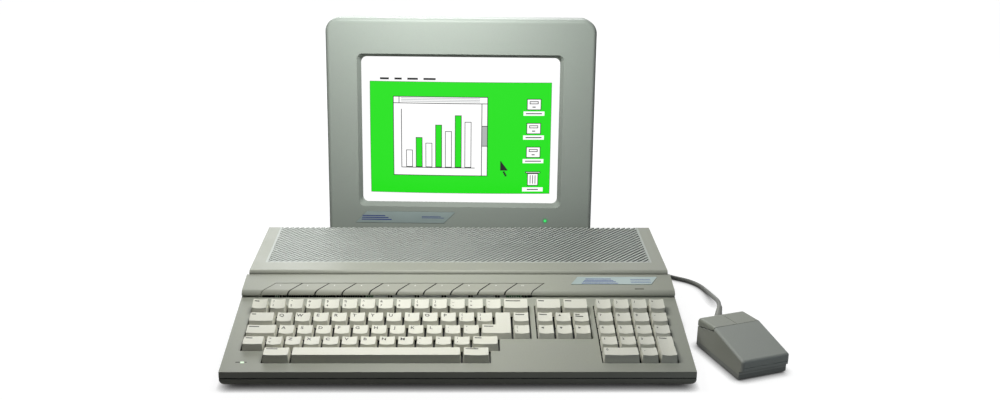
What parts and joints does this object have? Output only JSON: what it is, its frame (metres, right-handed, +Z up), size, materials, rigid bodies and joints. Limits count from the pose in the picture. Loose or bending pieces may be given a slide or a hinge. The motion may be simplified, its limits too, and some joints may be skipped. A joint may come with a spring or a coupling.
{
  "type": "home computer",
  "caption": "Keyboard-style home computer with a colour monitor on a stand behind it and a two-button ball mouse with a coiled cord beside it.",
  "frame": {"origin": "on the desk, under the middle of the whole set (keyboard unit, monitor and mouse, without the cord)", "axes": "+X towards the user's right, +Y away from the user towards the monitor, +Z up"},
  "size_m": [0.5705, 0.6648, 0.3052],
  "materials": {
    "case": "fine moulded texture",
    "key_cream": "satin with printed legends",
    "function_key_grey": "satin",
    "steel": "zinc plated",
    "board": "solder mask",
    "shield_steel": "tinned",
    "supply_housing": "plain sheet",
    "socket_black": "moulded",
    "foot_rubber": "matt",
    "lens": "translucent",
    "badge": "brushed",
    "drive_steel": "zinc plated",
    "drive_face": "moulded",
    "hub_brass": "turned",
    "screen_glass": "etched front",
    "winding": "enamelled wire",
    "monitor_case": "fine moulded texture",
    "control_plastic": "moulded",
    "mouse_case": "fine moulded texture",
    "mouse_roller": "moulded",
    "ball_rubber": "smooth",
    "cord_sheath": "satin"
  },
  "bodies": {
    "set": {"bottom_case": "case", "top_case": "case", "vent_grille": "case", "case_screws": "steel", "keyboard_plate": "steel", "keyboard_pcb": "board", "mainboard": "board", "rf_shield": "shield_steel", "power_supply": "supply_housing", "rear_sockets": "socket_black", "cartridge_socket": "socket_black", "mouse_ports": "shield_steel", "rubber_feet": "foot_rubber", "indicator_leds": "lens", "badge_plates": "badge", "drive_frame": "drive_steel", "drive_bezel": "drive_face", "monitor_bezel": "monitor_case", "monitor_cabinet": "monitor_case", "monitor_stand": "monitor_case", "picture_tube": "screen_glass", "deflection_yoke": "winding", "monitor_board": "board", "mouse_shell": "mouse_case", "mouse_base": "mouse_case", "mouse_board": "board", "cord_relief": "cord_sheath", "mouse_cord": "cord_sheath", "cord_lead": "cord_sheath", "cord_coil": "cord_sheath", "mouse_plug": "cord_sheath"},
    "number_row_keys": {"number_row_keys": "key_cream"},
    "top_letter_keys": {"top_letter_keys": "key_cream"},
    "home_letter_keys": {"home_letter_keys": "key_cream"},
    "bottom_letter_keys": {"bottom_letter_keys": "key_cream"},
    "alternate_key": {"alternate_key": "key_cream"},
    "space_bar": {"space_bar": "key_cream"},
    "caps_lock_key": {"caps_lock_key": "key_cream"},
    "left_shift_key": {"left_shift_key": "key_cream"},
    "right_shift_key": {"right_shift_key": "key_cream"},
    "return_key": {"return_key": "key_cream"},
    "enter_key": {"enter_key": "key_cream"},
    "cursor_keys": {"cursor_keys": "key_cream"},
    "keypad_keys": {"keypad_keys": "key_cream"},
    "function_keys": {"function_keys": "function_key_grey"},
    "eject_button": {"eject_button": "drive_face"},
    "reset_button": {"reset_button": "socket_black"},
    "power_switch": {"power_switch": "socket_black"},
    "drive_spindle": {"drive_spindle": "hub_brass"},
    "head_leadscrew": {"head_leadscrew": "steel"},
    "head_carriage": {"head_carriage": "drive_steel"},
    "brightness_knob": {"brightness_knob": "control_plastic"},
    "volume_knob": {"volume_knob": "control_plastic"},
    "monitor_power_button": {"monitor_power_button": "control_plastic"},
    "left_button": {"left_button": "mouse_case"},
    "right_button": {"right_button": "mouse_case"},
    "mouse_ball": {"mouse_ball": "ball_rubber"},
    "ball_roller": {"ball_roller": "mouse_roller"},
    "side_roller": {"side_roller": "mouse_roller"},
    "ball_ring": {"ball_ring": "mouse_case"}
  },
  "joints": [
    {"name": "number_row_keys_slide", "type": "slide", "parent": "set", "child": "number_row_keys", "axis": [0, 0.2019, -0.9794], "range_m": [0, 0.0038], "stiffness_N_per_m": 450, "springref_m": -0.012},
    {"name": "top_letter_keys_slide", "type": "slide", "parent": "set", "child": "top_letter_keys", "axis": [0, 0.2019, -0.9794], "range_m": [0, 0.0038], "stiffness_N_per_m": 420, "springref_m": -0.012},
    {"name": "home_letter_keys_slide", "type": "slide", "parent": "set", "child": "home_letter_keys", "axis": [0, 0.2019, -0.9794], "range_m": [0, 0.0038], "stiffness_N_per_m": 390, "springref_m": -0.012},
    {"name": "bottom_letter_keys_slide", "type": "slide", "parent": "set", "child": "bottom_letter_keys", "axis": [0, 0.2019, -0.9794], "range_m": [0, 0.0038], "stiffness_N_per_m": 330, "springref_m": -0.012},
    {"name": "alternate_key_slide", "type": "slide", "parent": "set", "child": "alternate_key", "axis": [0, 0.2019, -0.9794], "range_m": [0, 0.0038], "stiffness_N_per_m": 30, "springref_m": -0.012},
    {"name": "space_bar_slide", "type": "slide", "parent": "set", "child": "space_bar", "axis": [0, 0.2019, -0.9794], "range_m": [0, 0.0038], "stiffness_N_per_m": 30, "springref_m": -0.012},
    {"name": "caps_lock_key_slide", "type": "slide", "parent": "set", "child": "caps_lock_key", "axis": [0, 0.2019, -0.9794], "range_m": [0, 0.0038], "stiffness_N_per_m": 30, "springref_m": -0.012},
    {"name": "left_shift_key_slide", "type": "slide", "parent": "set", "child": "left_shift_key", "axis": [0, 0.2019, -0.9794], "range_m": [0, 0.0038], "stiffness_N_per_m": 30, "springref_m": -0.012},
    {"name": "right_shift_key_slide", "type": "slide", "parent": "set", "child": "right_shift_key", "axis": [0, 0.2019, -0.9794], "range_m": [0, 0.0038], "stiffness_N_per_m": 30, "springref_m": -0.012},
    {"name": "return_key_slide", "type": "slide", "parent": "set", "child": "return_key", "axis": [0, 0.2019, -0.9794], "range_m": [0, 0.0038], "stiffness_N_per_m": 30, "springref_m": -0.012},
    {"name": "enter_key_slide", "type": "slide", "parent": "set", "child": "enter_key", "axis": [0, 0.2019, -0.9794], "range_m": [0, 0.0038], "stiffness_N_per_m": 30, "springref_m": -0.012},
    {"name": "cursor_keys_slide", "type": "slide", "parent": "set", "child": "cursor_keys", "axis": [0, 0.2019, -0.9794], "range_m": [0, 0.0038], "stiffness_N_per_m": 240, "springref_m": -0.012},
    {"name": "keypad_keys_slide", "type": "slide", "parent": "set", "child": "keypad_keys", "axis": [0, 0.2019, -0.9794], "range_m": [0, 0.0038], "stiffness_N_per_m": 510, "springref_m": -0.012},
    {"name": "function_keys_slide", "type": "slide", "parent": "set", "child": "function_keys", "axis": [0, 0.2019, -0.9794], "range_m": [0, 0.003], "stiffness_N_per_m": 300, "springref_m": -0.012},
    {"name": "eject_button_slide", "type": "slide", "parent": "set", "child": "eject_button", "axis": [-1, 0, 0], "range_m": [0, 0.004], "stiffness_N_per_m": 60, "springref_m": -0.01},
    {"name": "reset_button_slide", "type": "slide", "parent": "set", "child": "reset_button", "axis": [0, -1, 0], "range_m": [0, 0.0025], "stiffness_N_per_m": 40, "springref_m": -0.01},
    {"name": "power_switch_turn", "type": "hinge", "parent": "set", "child": "power_switch", "pos_m": [-0.21812, -0.05537, 0.03], "axis": [-1, 0, 0], "range_deg": [0, 14]},
    {"name": "drive_spindle_turn", "type": "hinge", "parent": "set", "child": "drive_spindle", "pos_m": [0.11878, -0.11287, 0.0215], "axis": [0, 0, 1], "continuous": true},
    {"name": "head_leadscrew_turn", "type": "hinge", "parent": "set", "child": "head_leadscrew", "pos_m": [0.02938, -0.09237, 0.0335], "axis": [1, 0, 0], "range_deg": [0, 1800]},
    {"name": "head_carriage_slide", "type": "slide", "parent": "set", "child": "head_carriage", "axis": [1, 0, 0], "range_m": [0, 0.015]},
    {"name": "brightness_knob_turn", "type": "hinge", "parent": "set", "child": "brightness_knob", "pos_m": [0.11844, 0.09769, 0.092], "axis": [0.9995, -0.0314, 0], "range_deg": [-140, 140]},
    {"name": "volume_knob_turn", "type": "hinge", "parent": "set", "child": "volume_knob", "pos_m": [0.11844, 0.09769, 0.118], "axis": [0.9995, -0.0314, 0], "range_deg": [-140, 140]},
    {"name": "monitor_power_button_slide", "type": "slide", "parent": "set", "child": "monitor_power_button", "axis": [-0.9995, 0.0314, 0], "range_m": [0, 0.0035], "stiffness_N_per_m": 60, "springref_m": -0.01},
    {"name": "left_button_slide", "type": "slide", "parent": "set", "child": "left_button", "axis": [0, 0, -1], "range_m": [0, 0.0008], "stiffness_N_per_m": 150, "springref_m": -0.003},
    {"name": "right_button_slide", "type": "slide", "parent": "set", "child": "right_button", "axis": [0, 0, -1], "range_m": [0, 0.0008], "stiffness_N_per_m": 150, "springref_m": -0.003},
    {"name": "mouse_ball_turn", "type": "hinge", "parent": "set", "child": "mouse_ball", "pos_m": [0.24653, -0.27203, 0.0112], "axis": [0.9455, 0.3256, 0], "continuous": true},
    {"name": "ball_roller_turn", "type": "hinge", "parent": "set", "child": "ball_roller", "pos_m": [0.25102, -0.28508, 0.0112], "axis": [0.9455, 0.3256, 0], "continuous": true},
    {"name": "side_roller_turn", "type": "hinge", "parent": "set", "child": "side_roller", "pos_m": [0.23348, -0.27653, 0.0112], "axis": [-0.3256, 0.9455, 0], "continuous": true},
    {"name": "ball_ring_turn", "type": "hinge", "parent": "set", "child": "ball_ring", "pos_m": [0.24653, -0.27203, 0], "axis": [0, 0, -1], "range_deg": [0, 30]}
  ],
  "couplings": [
    {"joint": "head_leadscrew_turn", "follows": "head_carriage_slide", "rad_per_m": 2094.4},
    {"joint": "ball_roller_turn", "follows": "mouse_ball_turn", "ratio": -4.4}
  ]
}
